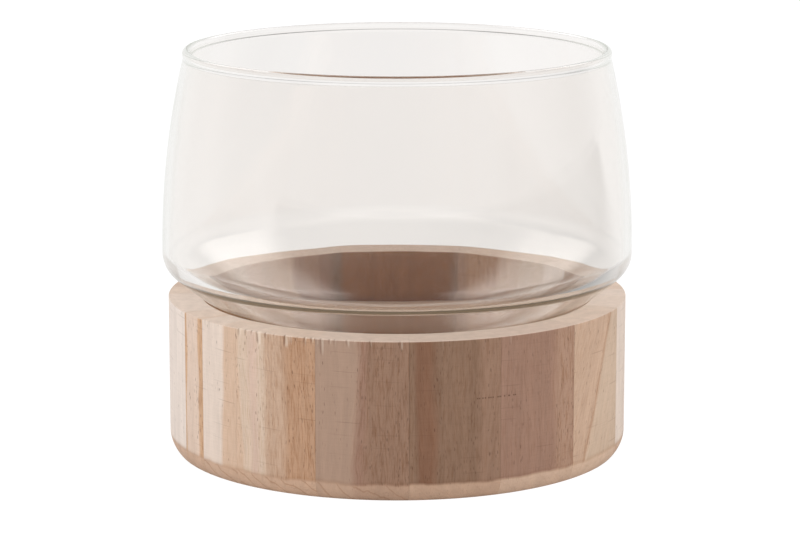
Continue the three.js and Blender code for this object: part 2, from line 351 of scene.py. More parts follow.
def glass_sections(glass):
    """The outer skin with the bead and the inner skin, as radius and height above the table."""
    bowl_step, bead_step, side_step = 0.45 * MM, 0.3 * MM, 1.8 * MM
    bead_centre = Vector((glass.rim_radius - glass.bead_radius, glass.height - glass.bead_radius))
    bead = arc_points(bead_centre, glass.bead_radius, -glass.bead_wrap, math.pi + glass.bead_wrap, bead_step)
    heel_x = glass.radius - glass.heel_radius
    heel_foot_x = heel_x + glass.heel_radius * math.sin(glass.slope)
    bowl_depth = (heel_foot_x - glass.straight) / math.sin(glass.slope) * (1 - math.cos(glass.slope))
    heel_foot = Vector((heel_foot_x, bowl_depth + glass.straight * math.tan(glass.slope)))
    heel_centre = Vector((heel_x, heel_foot.y + glass.heel_radius * math.cos(glass.slope)))
    outer = bowl_points(glass, 0, heel_centre, glass.heel_radius, bowl_step)
    inner_x = glass.radius - glass.wall - glass.inner_heel_radius
    reach = glass.underside_wall + glass.inner_heel_radius + (inner_x - heel_foot.x) * math.sin(glass.slope)
    inner_centre = Vector((inner_x, heel_foot.y + reach / math.cos(glass.slope)))
    inner = bowl_points(glass, glass.floor, inner_centre, glass.inner_heel_radius, bowl_step)
    outer += side_points(outer[-1], bead[0], side_step)[1:-1] + bead
    inner += side_points(inner[-1], bead[-1], side_step)[1:-1]
    lift = Vector((0, glass.underside))
    return [p + lift for p in outer], [p + lift for p in reversed(inner)]


def section_object(name, points, path_radius, closed, skin=None):
    """An object that holds a section as edges, ready to be swept along a path of that radius."""
    mesh = bpy.data.meshes.new(name)
    count = len(points)
    edges = [(i, i + 1) for i in range(count - 1)] + ([(count - 1, 0)] if closed else [])
    mesh.from_pydata([(p.x - path_radius, -p.y, 0) for p in points], edges, [])
    if skin:
        mesh.attributes.new("inner_skin", "FLOAT", "POINT").data.foreach_set("value", skin)
    piece = bpy.data.objects.new(name, mesh)
    bpy.context.scene.collection.objects.link(piece)
    return piece


def sweep_tree(name, sockets):
    """A geometry tree with the named inputs after its geometry, and the identifier of each by its name."""
    tree = bpy.data.node_groups.new(name, "GeometryNodeTree")
    tree.interface.new_socket("Geometry", in_out="INPUT", socket_type="NodeSocketGeometry")
    names = {}
    for label, kind in sockets.items():
        names[label] = tree.interface.new_socket(label, in_out="INPUT", socket_type=kind).identifier
    tree.interface.new_socket("Geometry", in_out="OUTPUT", socket_type="NodeSocketGeometry")
    return tree, names


def close_tree(tree, geometry, material):
    """Ends a tree: copies made real, the material set, and the result put out."""
    real = add(tree, "GeometryNodeRealizeInstances", {"Geometry": geometry})
    dressed = add(tree, "GeometryNodeSetMaterial", {"Geometry": real, "Material": material})
    add(tree, "NodeGroupOutput", {"Geometry": dressed})


def stave_tree():
    """Sweeps the ring's section between two seams and tears fibres out of the outer top edge.

    A tear is a patch of stretched noise: narrow across the grain, long down it, and rarer with the
    distance from the top. It pulls the wall and the edge inwards, never outwards, and is cut steeply on
    one side, where it leaves a notch that the material paints dark as a painted shadow.
    """
    numbers = ["Path radius", "Start", "Sweep", "Middle", "Ring radius", "Ring height", "Torn height",
               "Torn depth", "Torn share", "Seed"]
    tree, names = sweep_tree("Turned stave", {
        **dict.fromkeys(numbers, "NodeSocketFloat"), "Points": "NodeSocketInt",
        "Material": "NodeSocketMaterial"})
    given = tree.nodes.new("NodeGroupInput").outputs
    section = add(tree, "GeometryNodeMeshToCurve", {"Mesh": given["Geometry"]})
    arc = add(tree, "GeometryNodeCurveArc", {
        "Resolution": given["Points"], "Radius": given["Path radius"], "Start Angle": given["Start"],
        "Sweep Angle": given["Sweep"]}, mode="RADIUS")
    upright = add(tree, "GeometryNodeSetCurveNormal", {"Curve": arc}, mode="Z_UP")
    swept = add(tree, "GeometryNodeCurveToMesh", {
        "Curve": upright, "Profile Curve": section, "Fill Caps": True})

    # Distance along the wall from the stave's middle, below the top, and inwards from the wall
    place = add(tree, "GeometryNodeInputPosition")
    back = add(tree, "ShaderNodeMath", {0: given["Middle"], 1: -1.0}, operation="MULTIPLY")
    board = add(tree, "ShaderNodeVectorRotate", {"Vector": place, "Angle": back}, rotation_type="Z_AXIS")
    shares = add(tree, "ShaderNodeSeparateXYZ", {"Vector": board}).outputs
    front = add(tree, "ShaderNodeMath", {0: shares["Y"], 1: -1.0}, operation="MULTIPLY")
    azimuth = add(tree, "ShaderNodeMath", {0: shares["X"], 1: front}, operation="ARCTAN2")
    along = add(tree, "ShaderNodeMath", {0: azimuth, 1: given["Ring radius"]}, operation="MULTIPLY")
    below = add(tree, "ShaderNodeMath", {0: given["Ring height"], 1: shares["Z"]}, operation="SUBTRACT")
    flat = add(tree, "ShaderNodeVectorMath", {0: place, 1: (1, 1, 0)}, operation="MULTIPLY")
    radius = add(tree, "ShaderNodeVectorMath", {0: flat}, operation="LENGTH").outputs["Value"]
    inwards = add(tree, "ShaderNodeMath", {0: given["Ring radius"], 1: radius}, operation="SUBTRACT")
    mask = add(tree, "ShaderNodeMapRange", {
        "Value": inwards, "From Min": 1.6 * MM, "From Max": 0.3 * MM, "To Max": given["Torn share"]})

    # Tears grow rare with the distance from the top, and stand in groups about a centimetre wide
    group_width, tear_width, tear_length = 9 * MM, 1.5 * MM, 15 * MM
    fade = add(tree, "ShaderNodeMath", {0: below, 1: given["Torn height"]}, operation="DIVIDE")
    scarce = add(tree, "ShaderNodeMath", {
        0: given["Torn share"], 1: -0.16, 2: 0.925}, operation="MULTIPLY_ADD")
    even = add(tree, "ShaderNodeMath", {0: fade, 1: 0.3, 2: scarce}, operation="MULTIPLY_ADD")
    stretch = add(tree, "ShaderNodeMath", {0: along, 1: 1 / group_width}, operation="MULTIPLY")
    row = add(tree, "ShaderNodeCombineXYZ", {"X": stretch, "Z": given["Seed"]})
    groups = add(tree, "ShaderNodeTexNoise", {"Vector": row, "Scale": 1.0})
    limit = add(tree, "ShaderNodeMath", {0: groups, 1: -0.5, 2: even}, operation="MULTIPLY_ADD")
    down = add(tree, "ShaderNodeMath", {0: below, 1: 1 / tear_length}, operation="MULTIPLY")
    tears = []
    for shift in (0.0, 0.5):
        across = add(tree, "ShaderNodeMath", {
            0: along, 1: 1 / tear_width, 2: shift}, operation="MULTIPLY_ADD")
        fibres = add(tree, "ShaderNodeCombineXYZ", {"X": across, "Y": down, "Z": given["Seed"]})
        noise = add(tree, "ShaderNodeTexNoise", {
            "Vector": fibres, "Scale": 1.0, "Detail": 1.5, "Roughness": 0.55})
        raised = add(tree, "ShaderNodeMath", {0: noise, 1: limit}, operation="SUBTRACT")
        tears.append(add(tree, "ShaderNodeMapRange", {
            "Value": raised, "From Min": -0.04, "From Max": 0.07}, interpolation_type="SMOOTHSTEP"))
    torn = add(tree, "ShaderNodeMath", {0: tears[0], 1: mask}, operation="MULTIPLY")
    beside = add(tree, "ShaderNodeMath", {0: tears[1], 1: tears[0]}, operation="SUBTRACT", use_clamp=True)
    # The notch is painted dark by the material: a painted shadow on the tear's steep side
    notch = add(tree, "ShaderNodeMath", {0: beside, 1: mask}, operation="MULTIPLY")

    # Both are stored for the material, worked out on the shape before the pull moves it
    sunk = add(tree, "ShaderNodeMath", {0: notch, 1: 0.8, 2: torn}, operation="MULTIPLY_ADD")
    depth = add(tree, "ShaderNodeMath", {0: sunk, 1: given["Torn depth"]}, operation="MULTIPLY")
    pull = add(tree, "ShaderNodeMath", {0: depth, 1: -1.0}, operation="MULTIPLY")
    outwards = add(tree, "ShaderNodeVectorMath", {0: flat}, operation="NORMALIZE")
    offset = add(tree, "ShaderNodeVectorMath", {0: outwards, "Scale": pull}, operation="SCALE")
    marked = swept
    for label, value in (("torn", torn), ("notch", notch)):
        marked = add(tree, "GeometryNodeStoreNamedAttribute", {
            "Geometry": marked, "Name": label, "Value": value}, data_type="FLOAT", domain="POINT")
    moved = add(tree, "GeometryNodeSetPosition", {"Geometry": marked, "Offset": offset})
    close_tree(tree, moved, given["Material"])
    return tree, names


def vessel_tree():
    """Sweeps the glass's section once round the axis; the inner skin ripples a little, as if blown."""
    tree, names = sweep_tree("Blown vessel", {
        "Path radius": "NodeSocketFloat", "Points": "NodeSocketInt", "Ripple": "NodeSocketFloat",
        "Seed": "NodeSocketFloat", "Material": "NodeSocketMaterial"})
    given = tree.nodes.new("NodeGroupInput").outputs
    section = add(tree, "GeometryNodeMeshToCurve", {"Mesh": given["Geometry"]})
    circle = add(tree, "GeometryNodeCurvePrimitiveCircle", {
        "Resolution": given["Points"], "Radius": given["Path radius"]}, mode="RADIUS")
    upright = add(tree, "GeometryNodeSetCurveNormal", {"Curve": circle}, mode="Z_UP")
    swept = add(tree, "GeometryNodeCurveToMesh", {"Curve": upright, "Profile Curve": section})
    closed = add(tree, "GeometryNodeMergeByDistance", {"Geometry": swept, "Distance": 0.005 * MM})

    wave_width, wave_height = 38 * MM, 30 * MM
    place = add(tree, "GeometryNodeInputPosition")
    waves = add(tree, "ShaderNodeVectorMath", {
        0: place, 1: (1 / wave_width, 1 / wave_width, 1 / wave_height)}, operation="MULTIPLY")
    seeded = add(tree, "ShaderNodeVectorMath", {0: waves, 1: given["Seed"]}, operation="ADD")
    noise = add(tree, "ShaderNodeTexNoise", {"Vector": seeded, "Scale": 1.0, "Detail": 1.0})
    swing = add(tree, "ShaderNodeMapRange", {"Value": noise, "To Min": -1.0, "To Max": 1.0})
    skin = add(tree, "GeometryNodeInputNamedAttribute", {"Name": "inner_skin"}, data_type="FLOAT")
    inner = add(tree, "ShaderNodeMath", {0: swing, 1: skin.outputs["Attribute"]}, operation="MULTIPLY")
    height = add(tree, "ShaderNodeMath", {0: inner, 1: given["Ripple"]}, operation="MULTIPLY")
    normal = add(tree, "GeometryNodeInputNormal").outputs["Normal"]
    push = add(tree, "ShaderNodeVectorMath", {0: normal, "Scale": height}, operation="SCALE")
    moved = add(tree, "GeometryNodeSetPosition", {"Geometry": closed, "Offset": push})
    close_tree(tree, moved, given["Material"])
    return tree, names


def swept_piece(piece, tree, names, values, crisp_from):
    """Runs a tree on a section, keeps the result as a plain mesh, and takes the modifier off.

    Corners steeper than the last value look crisp, and all others round.
    """
    modifier = piece.modifiers.new("Sweep", "NODES")
    modifier.node_group = tree
    for label, value in values.items():
        modifier[names[label]] = value
    depsgraph = bpy.context.evaluated_depsgraph_get()
    mesh = bpy.data.meshes.new_from_object(piece.evaluated_get(depsgraph))
    piece.modifiers.clear()
    piece.data = mesh
    mesh.shade_smooth()
    mesh.set_sharp_from_angle(angle=crisp_from)
    return piece


def own_place(seed):
    """A shift that gives each stave its own part of an endless pattern."""
    return seed, 2.3 * seed, 0.7 * seed


def stretched_noise(tree, coordinates, across, along, seed, detail, roughness=0.5):
    """Noise whose marks are that wide level and that long upright."""
    stretched = add(tree, "ShaderNodeMapping", {
        "Vector": coordinates, "Location": own_place(seed), "Scale": (1 / across, 1 / across, 1 / along)})
    return add(tree, "ShaderNodeTexNoise", {
        "Vector": stretched, "Scale": 1.0, "Detail": detail, "Roughness": roughness})


def laid_over(tree, tone, layers):
    """A colour with others laid over it in order: the share of each, its colour, and how it blends."""
    for share, above, blend_type in layers:
        tone = add(tree, "ShaderNodeMix", {0: share, 6: tone, 7: (*above, 1)}, data_type="RGBA",
                   blend_type=blend_type).outputs[2]
    return tone


def faded(tree, share, limits):
    """A share that fades with each value: from where it is gone to where it is whole, and in what way."""
    for value, gone, whole, border in limits:
        share = add(tree, "ShaderNodeMapRange", {
            "Value": value, "From Min": gone, "From Max": whole, "To Max": share},
            interpolation_type=border)
    return share


def fill_ramp(node, stops):
    """Puts colour stops on a ramp, from its left end to its right end."""
    elements = node.color_ramp.elements
    while len(elements) > 1:
        elements.remove(elements[-1])
    for number, (position, tone) in enumerate(stops):
        element = elements[0] if number == 0 else elements.new(position)
        element.position = position
        element.color = tone if len(tone) == 4 else (*tone, 1)


def band_stops(colours, bands):
    """Ramp stops for a stave's bands, with a short blend at each border; alpha is the figure's strength."""
    shares = [share for _, share, _ in bands]
    inner = [min(0.045, 0.4 * left, 0.4 * right) for left, right in zip(shares, shares[1:])]
    blends = [0.0, *inner, 0.0]
    stops, edge = [], 0.0
    for (tone, share, figure), before, after in zip(bands, blends, blends[1:]):
        for place in (edge + before, edge + share - after):
            stops.append((place, (*getattr(colours, tone), figure)))
        edge += share
    return stops


def pores(tree, grain, figure, seed):
    """How strongly cut vessels show: up to 0.4 mm wide and 1.8 mm long, crowded in the figured bands."""
    cell_width, cell_length = 0.64 * MM, 3 * MM
    cut = add(tree, "ShaderNodeMapping", {
        "Vector": grain, "Location": own_place(seed),
        "Scale": (1 / cell_width, 1 / cell_width, 1 / cell_length)})
    cells = add(tree, "ShaderNodeTexVoronoi", {"Vector": cut, "Scale": 1.0})
    chances = add(tree, "ShaderNodeSeparateColor", {"Color": cells.outputs["Color"]}).outputs
    crowd = stretched_noise(tree, grain, 3.5 * MM, 30 * MM, seed + 3, 2.0)
    crowded = add(tree, "ShaderNodeMapRange", {
        "Value": crowd, "From Min": 0.36, "From Max": 0.6, "To Min": 0.12, "To Max": 0.9})
    share = add(tree, "ShaderNodeMath", {0: crowded, 1: figure}, operation="MULTIPLY")
    chosen = add(tree, "ShaderNodeMath", {0: chances["Red"], 1: share}, operation="LESS_THAN")
    strength = add(tree, "ShaderNodeMapRange", {"Value": chances["Green"], "To Min": 0.2, "To Max": 0.8})
    core = add(tree, "ShaderNodeMapRange", {
        "Value": cells.outputs["Distance"], "From Min": 0.36, "From Max": 0.14, "To Max": strength},
        interpolation_type="SMOOTHSTEP")
    return add(tree, "ShaderNodeMath", {0: core, 1: chosen}, operation="MULTIPLY")


def level_marks(tree, x, z, seed):
    """Hairlines that run level across the grain, up to 14 mm long: small checks and marks of the lathe."""
    cell_width, cell_height = 17 * MM, 6 * MM
    line_width = 0.16 * MM / cell_height
    column = add(tree, "ShaderNodeMath", {0: x, 1: 1 / cell_width, 2: seed}, operation="MULTIPLY_ADD")
    row = add(tree, "ShaderNodeMath", {0: z, 1: 1 / cell_height, 2: seed}, operation="MULTIPLY_ADD")
    sheet = add(tree, "ShaderNodeCombineXYZ", {"X": column, "Y": row})
    cells = add(tree, "ShaderNodeTexVoronoi", {
        "Vector": sheet, "Scale": 1.0, "Randomness": 0.8}, voronoi_dimensions="2D")
    away = add(tree, "ShaderNodeVectorMath", {0: sheet, 1: cells.outputs["Position"]}, operation="SUBTRACT")
    gaps = add(tree, "ShaderNodeSeparateXYZ", {"Vector": away}).outputs
    sloped = add(tree, "ShaderNodeMath", {0: gaps["X"], 1: 0.09, 2: gaps["Y"]}, operation="MULTIPLY_ADD")
    chance = add(tree, "ShaderNodeSeparateColor", {"Color": cells.outputs["Color"]}).outputs["Red"]
    mark = add(tree, "ShaderNodeMapRange", {"Value": chance, "From Min": 0.45, "To Max": 0.32})
    aside, off = [add(tree, "ShaderNodeMath", {0: gap}, operation="ABSOLUTE") for gap in (gaps["X"], sloped)]
    return faded(tree, mark, [
        (aside, 0.38, 0.15, "SMOOTHSTEP"), (off, 1.6 * line_width, 0.4 * line_width, "LINEAR")])


def pin_holes(tree, where, x, z, height, start, end):
    """A level row of pin holes, such as a fine nail or an insect leaves."""
    spacing = 1.25 * MM
    spaced = add(tree, "ShaderNodeMath", {0: x, 1: 1 / spacing}, operation="MULTIPLY")
    cells = add(tree, "ShaderNodeTexVoronoi", {"W": spaced, "Scale": 1.0}, voronoi_dimensions="1D")
    above = add(tree, "ShaderNodeMath", {0: z, 1: height}, operation="SUBTRACT")
    off = add(tree, "ShaderNodeMath", {0: above}, operation="ABSOLUTE")
    return faded(tree, 1.0, [
        (cells.outputs["Distance"], 0.32, 0.13, "LINEAR"), (off, 0.4 * MM, 0.15 * MM, "LINEAR"),
        (where, start - 0.01, start, "LINEAR"), (where, end + 0.01, end, "LINEAR")])


def stave_wood(node, colours, ring, middle, half_width, seed):
    """Mango wood: sapwood and heartwood in upright bands, open pores, sanded on the lathe, no varnish.

    The grain stands upright, so the wall shows long streaks and short dark pore dashes. The top face and the
    rounded foot cut across it, so they are plainer, and the foot shows the growth rings as slanting lines.
    Both are painted paler, partly for the end grain and partly as painted light: from above on the top, and
    from
    the floor on the foot. Dry and dull: high roughness.
    """
    material, tree, shader = material_tree(f"mango_{node}_sanded")
    place = add(tree, "ShaderNodeTexCoord").outputs["Object"]
    upright = add(tree, "ShaderNodeMapping", {"Vector": place, "Rotation": (0, 0, -middle)})
    lean = math.radians(LEAN.get(node, 0))
    board = add(tree, "ShaderNodeMapping", {
        "Vector": upright, "Location": (-ring.height / 2 * math.sin(lean), 0, 0), "Rotation": (0, lean, 0)})
    shares = add(tree, "ShaderNodeSeparateXYZ", {"Vector": upright}).outputs
    x, z = shares["X"], shares["Z"]

    # The grain wanders sideways by about a millimetre, and the bands, streaks and pores with it
    waver = stretched_noise(tree, board, 12 * MM, 45 * MM, seed, 4.0, 0.55)
    sideways = add(tree, "ShaderNodeMapRange", {"Value": waver, "To Min": -3.5 * MM, "To Max": 3.5 * MM})
    sway = add(tree, "ShaderNodeCombineXYZ", {"X": sideways})
    grain = add(tree, "ShaderNodeVectorMath", {0: board, 1: sway}, operation="ADD")
    across = add(tree, "ShaderNodeSeparateXYZ", {"Vector": grain}).outputs["X"]
    where = add(tree, "ShaderNodeMapRange", {
        "Value": across, "From Min": -half_width, "From Max": half_width})
    ramp = add(tree, "ShaderNodeValToRGB", {"Fac": where})
    fill_ramp(ramp, band_stops(colours, BANDS[node]))
    figure = ramp.outputs["Alpha"]

    # The top is cut square across the grain, and the foot edge at a slant, with a wavy border
    foot_top = ring.foot_edge_height
    top = add(tree, "ShaderNodeMapRange", {
        "Value": z, "From Min": ring.height - 0.45 * MM, "From Max": ring.height - 0.15 * MM})
    border = add(tree, "ShaderNodeMath", {0: waver, 1: 3 * MM, 2: z}, operation="MULTIPLY_ADD")
    foot = add(tree, "ShaderNodeMapRange", {
        "Value": border, "From Min": foot_top + 1.6 * MM, "From Max": foot_top + 0.4 * MM})

    # Growth rings slant down to the right, about 9 mm apart along the foot edge, which cuts across them,
    # and one darker line follows its wavy border, partly painted shade where the wall turns under into the
    # foot
    ring_spacing = (8.6 + math.sin(3 * seed)) * MM
    sloping = add(tree, "ShaderNodeMath", {0: z, 1: 1.5, 2: x}, operation="MULTIPLY_ADD")
    rings = add(tree, "ShaderNodeMath", {0: sloping, 1: 1 / ring_spacing}, operation="MULTIPLY")
    wavy = add(tree, "ShaderNodeMath", {0: waver, 1: 2.0, 2: rings}, operation="MULTIPLY_ADD")
    phase = add(tree, "ShaderNodeMath", {0: wavy}, operation="FRACT")
    late = faded(tree, FOOT_LINES.get(node, USUAL_FOOT_LINES), [
        (foot, 0.0, 1.0, "LINEAR"), (phase, 0.8, 0.95, "SMOOTHSTEP"), (phase, 1.0, 0.95, "LINEAR")])
    edge = faded(tree, 0.3, [
        (border, foot_top, foot_top + MM, "LINEAR"), (border, foot_top + 2.6 * MM, foot_top + MM, "LINEAR")])
    rings_and_border_painted_shade = add(tree, "ShaderNodeMath", {0: late, 1: edge}, operation="MAXIMUM")

    # Brown streaks under a millimetre wide in the figured bands, fibres drawn as coarse as can show, soft
    # clouds, and faint level marks that the sanding left as the ring turned
    streak = stretched_noise(tree, grain, 0.55 * MM, 8 * MM, seed, 5.0, 0.65)
    streak_share = add(tree, "ShaderNodeMapRange", {
        "Value": streak, "From Min": 0.46, "From Max": 0.74, "To Max": figure})
    fibre = stretched_noise(tree, grain, 0.42 * MM, 7 * MM, seed, 2.0)
    cloud = stretched_noise(tree, grain, 3.5 * MM, 45 * MM, seed + 5, 3.0)
    sanding = stretched_noise(tree, place, 9 * MM, 0.5 * MM, seed, 3.0, 0.7)
    value = 1.0
    for noise, low, high in ((fibre, 0.955, 1.04), (cloud, 0.94, 1.06), (sanding, 0.962, 1.03)):
        swing = add(tree, "ShaderNodeMapRange", {
            "Value": noise, "From Min": 0.3, "From Max": 0.7, "To Min": low, "To Max": high})
        value = add(tree, "ShaderNodeMath", {0: swing, 1: value}, operation="MULTIPLY")

    # The foot edge's tone is partly painted light: paler for the light from the floor, and paler still on the
    # right-hand staves that have their own tone
    foot_tone_with_painted_light = getattr(colours, FOOT_PAINTED_LIGHT_TONE.get(node, "foot_grain_with_painted_light"))
    foot_share = add(tree, "ShaderNodeMath", {
        0: foot, 1: FOOT_SHARE.get(node, USUAL_FOOT_SHARE)}, operation="MULTIPLY")
    # Partly painted light: the top face takes the paler end grain tone, which also stands for the light from
    # above
    top_share = add(tree, "ShaderNodeMath", {0: top, 1: 0.74}, operation="MULTIPLY")
    plain = laid_over(tree, ramp.outputs["Color"], [
        (streak_share, colours.streak, "MULTIPLY"), (foot_share, foot_tone_with_painted_light, "MIX"),
        (rings_and_border_painted_shade, colours.streak, "MULTIPLY"), (top_share, colours.end_grain_with_painted_light, "MIX")])
    shaded = add(tree, "ShaderNodeHueSaturation", {"Color": plain, "Value": value})

    # Pores and level marks show on the wall, less on the foot edge and not at all on the top
    figured = add(tree, "ShaderNodeMath", {0: figure, 1: 0.14}, operation="MAXIMUM")
    off_foot = add(tree, "ShaderNodeMapRange", {"Value": foot, "To Min": 1.0, "To Max": 0.4})
    on_wall = add(tree, "ShaderNodeMapRange", {
        "Value": top, "From Min": 1.0, "From Max": 0.0, "To Max": off_foot})
    pore = add(tree, "ShaderNodeMath", {
        0: pores(tree, grain, figured, seed), 1: on_wall}, operation="MULTIPLY")
    mark = add(tree, "ShaderNodeMath", {
        0: level_marks(tree, x, z, seed), 1: on_wall}, operation="MULTIPLY")
    # Painted shadow: the steep side of each tear is darkened with the pore colour, as the shade in its notch
    cut = add(tree, "ShaderNodeAttribute", attribute_name="notch").outputs["Fac"]
    notch = add(tree, "ShaderNodeMath", {0: cut, 1: 0.6}, operation="MULTIPLY")
    dents = [mark, notch]
    if node in PIN_HOLES:
        dents.append(pin_holes(tree, where, x, z, *PIN_HOLES[node]))
    dark = pore
    for dent in dents:
        dark = add(tree, "ShaderNodeMath", {0: dark, 1: dent}, operation="MAXIMUM")
    dark_share = add(tree, "ShaderNodeMath", {0: dark, 1: 0.8}, operation="MULTIPLY")
    torn = add(tree, "ShaderNodeAttribute", attribute_name="torn").outputs["Fac"]
    torn_share = add(tree, "ShaderNodeMath", {0: torn, 1: 0.45}, operation="MULTIPLY")
    tone = laid_over(tree, shaded, [(dark_share, colours.pore, "MIX"), (torn_share, colours.torn, "MIX")])

    sunk = add(tree, "ShaderNodeMath", {0: pore, 1: -0.8, 2: fibre}, operation="MULTIPLY_ADD")
    height = add(tree, "ShaderNodeMath", {0: sanding, 1: 0.35, 2: sunk}, operation="MULTIPLY_ADD")
    relief = add(tree, "ShaderNodeBump", {"Height": height, "Distance": 0.05 * MM, "Strength": 1.0})
    dull = add(tree, "ShaderNodeMapRange", {"Value": fibre, "To Min": 0.58, "To Max": 0.8})
    connect(tree, shader, {
        "Base Color": tone, "Roughness": dull, "Normal": relief, "Specular IOR Level": 0.2})
    return material


def board_wood(colours):
    """Mango wood in a flat board, sawn lengthwise and sanded, no varnish: long figure along X."""
    material, tree, shader = material_tree("mango_board_sanded")
    place = add(tree, "ShaderNodeTexCoord").outputs["Object"]
    noises = []
    for long, wide, detail, roughness in ((70 * MM, 7 * MM, 4.0, 0.6), (12 * MM, 0.5 * MM, 2.0, 0.5)):
        stretched = add(tree, "ShaderNodeMapping", {
            "Vector": place, "Scale": (1 / long, 1 / wide, 1 / wide)})
        noises.append(add(tree, "ShaderNodeTexNoise", {
            "Vector": stretched, "Scale": 1.0, "Detail": detail, "Roughness": roughness}))
    figure, fibre = noises
    ramp = add(tree, "ShaderNodeValToRGB", {"Fac": figure})
    fill_ramp(ramp, [(0.3, colours.fallow), (0.5, colours.tan), (0.7, colours.honey)])
    value = add(tree, "ShaderNodeMapRange", {
        "Value": fibre, "From Min": 0.3, "From Max": 0.7, "To Min": 0.9, "To Max": 1.06})
    tone = add(tree, "ShaderNodeHueSaturation", {"Color": ramp, "Value": value})
    relief = add(tree, "ShaderNodeBump", {"Height": fibre, "Distance": 0.06 * MM})
    connect(tree, shader, {
        "Base Color": tone, "Roughness": 0.72, "Normal": relief, "Specular IOR Level": 0.2})
    return material


def clear_glass():
    """Soda-lime glass, blown and fire-polished: colourless in the wall, faintly green through its depth.

    Fire leaves the skin smooth and a little wavy, so reflections are sharp and their edges wander.
    """
    material, tree, shader = material_tree("soda_lime_glass_blown")
    wave_width, wave_height = 22 * MM, 34 * MM
    place = add(tree, "ShaderNodeTexCoord").outputs["Object"]
    flow = stretched_noise(tree, place, wave_width, wave_height, 0, 1.0)
    wave = add(tree, "ShaderNodeBump", {"Height": flow, "Distance": 0.06 * MM})
    connect(tree, shader, {
        "Base Color": (*linear("#FAF7F5"), 1), "Roughness": 0.0, "IOR": 1.51, "Transmission Weight": 1.0,
        "Normal": wave})
    # Painted light: where a ray has bounced more than twice, the glass glows in place of the light that keeps
    # bouncing in the wall. The glow is faintly green, warmer in the heel, and brown by the wood as a painted
    # reflection of it
    rays = add(tree, "ShaderNodeLightPath").outputs
    height = add(tree, "ShaderNodeSeparateXYZ", {"Vector": place}).outputs["Z"]
    above_wood = add(tree, "ShaderNodeMapRange", {"Value": height, "From Min": 71 * MM, "From Max": 86 * MM})
    painted_glow_tone = add(tree, "ShaderNodeValToRGB", {"Fac": above_wood})
    fill_ramp(painted_glow_tone, [(0.0, linear("#75634F")), (0.3, linear("#DAD1CC")), (1.0, linear("#DEDED9"))])
    glow = add(tree, "ShaderNodeEmission", {"Color": painted_glow_tone})
    trapped = add(tree, "ShaderNodeMath", {0: rays["Glossy Depth"], 1: 2.5}, operation="GREATER_THAN")
    leaving = add(tree, "ShaderNodeMixShader", {0: trapped, 1: shader, 2: glow})
    # Light passes straight on to what lies below, as it does through thin clear glass
    passing = add(tree, "ShaderNodeBsdfTransparent", {"Color": (*linear("#FEFEFE"), 1)})
    light = add(tree, "ShaderNodeMath", {
        0: rays["Is Shadow Ray"], 1: rays["Is Diffuse Ray"]}, operation="MAXIMUM")
    both = add(tree, "ShaderNodeMixShader", {0: light, 1: leaving, 2: passing})
    depth = add(tree, "ShaderNodeVolumeAbsorption", {"Color": (*linear("#D6EBDC"), 1), "Density": 8.0})
    connect(tree, tree.nodes["Material Output"], {"Surface": both, "Volume": depth})
    return material


def background_share(tree, position, dim_from, dim_to):
    """How much of the white background a ray sees, and what kinds of ray it is.

    The camera, and what is seen through glass, get all of it, and light that falls on things gets none.
    What a surface mirrors grows dim towards the front and the right, where the studio is dark, also where
    the ray has to leave the glass again after the mirror.
    """
    rays = add(tree, "ShaderNodeLightPath").outputs
    towards = add(tree, "ShaderNodeVectorMath", {0: position, 1: (-0.5, 0.87, 0)}, operation="DOT_PRODUCT")
    bright = add(tree, "ShaderNodeMapRange", {
        "Value": towards.outputs["Value"], "From Min": dim_from, "From Max": dim_to, "To Min": 0.26},
        interpolation_type="SMOOTHSTEP")
    mirrored = add(tree, "ShaderNodeMath", {0: rays["Is Glossy Ray"], 1: bright}, operation="MULTIPLY")
    unmirrored = add(tree, "ShaderNodeMath", {0: rays["Glossy Depth"], 1: 0.5}, operation="LESS_THAN")
    through = add(tree, "ShaderNodeMath", {
        0: rays["Is Transmission Ray"], 1: unmirrored}, operation="MULTIPLY")
    open_view = add(tree, "ShaderNodeMath", {0: rays["Is Camera Ray"], 1: through}, operation="MAXIMUM")
    return add(tree, "ShaderNodeMath", {0: open_view, 1: mirrored}, operation="MAXIMUM"), rays


def floor_paint():
    """White studio floor: it shows white, keeps a faint shadow, and throws soft light upwards."""
    material, tree, shader = material_tree("studio_floor_matt_white")
    place = add(tree, "ShaderNodeTexCoord").outputs["Object"]
    grain = add(tree, "ShaderNodeTexNoise", {"Vector": place, "Scale": 40.0})
    tone = add(tree, "ShaderNodeMapRange", {"Value": grain, "To Min": 0.88, "To Max": 0.92})
    connect(tree, shader, {"Base Color": tone, "Roughness": 0.9})
    seen, rays = background_share(tree, place, -0.15, 0.12)
    strength = add(tree, "ShaderNodeMath", {
        0: rays["Is Camera Ray"], 1: 0.1, 2: seen}, operation="MULTIPLY_ADD")
    glow = add(tree, "ShaderNodeEmission", {"Color": (1, 1, 1, 1), "Strength": strength})
    open_view = add(tree, "ShaderNodeMath", {
        0: rays["Is Camera Ray"], 1: rays["Is Transmission Ray"]}, operation="MAXIMUM")
    unshadowed = add(tree, "ShaderNodeMath", {0: open_view, 1: 0.85}, operation="MULTIPLY")
    white = add(tree, "ShaderNodeMath", {0: unshadowed, 1: rays["Is Glossy Ray"]}, operation="MAXIMUM")
    both = add(tree, "ShaderNodeMixShader", {0: white, 1: shader, 2: glow})
    connect(tree, tree.nodes["Material Output"], {"Surface": both})
    return material


def stave_span(node):
    """Azimuth of a stave's middle and half the angle between its seams, from the fixed frame."""
    places = [v.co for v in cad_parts[node].data.vertices]
    centre = sum(places, Vector()) / len(places)
    middle = math.atan2(centre.x, -centre.y)
    turned = [math.atan2(p.x * math.cos(middle) + p.y * math.sin(middle),
                         p.x * math.sin(middle) - p.y * math.cos(middle)) for p in places]
    return middle + (max(turned) + min(turned)) / 2, (max(turned) - min(turned)) / 2


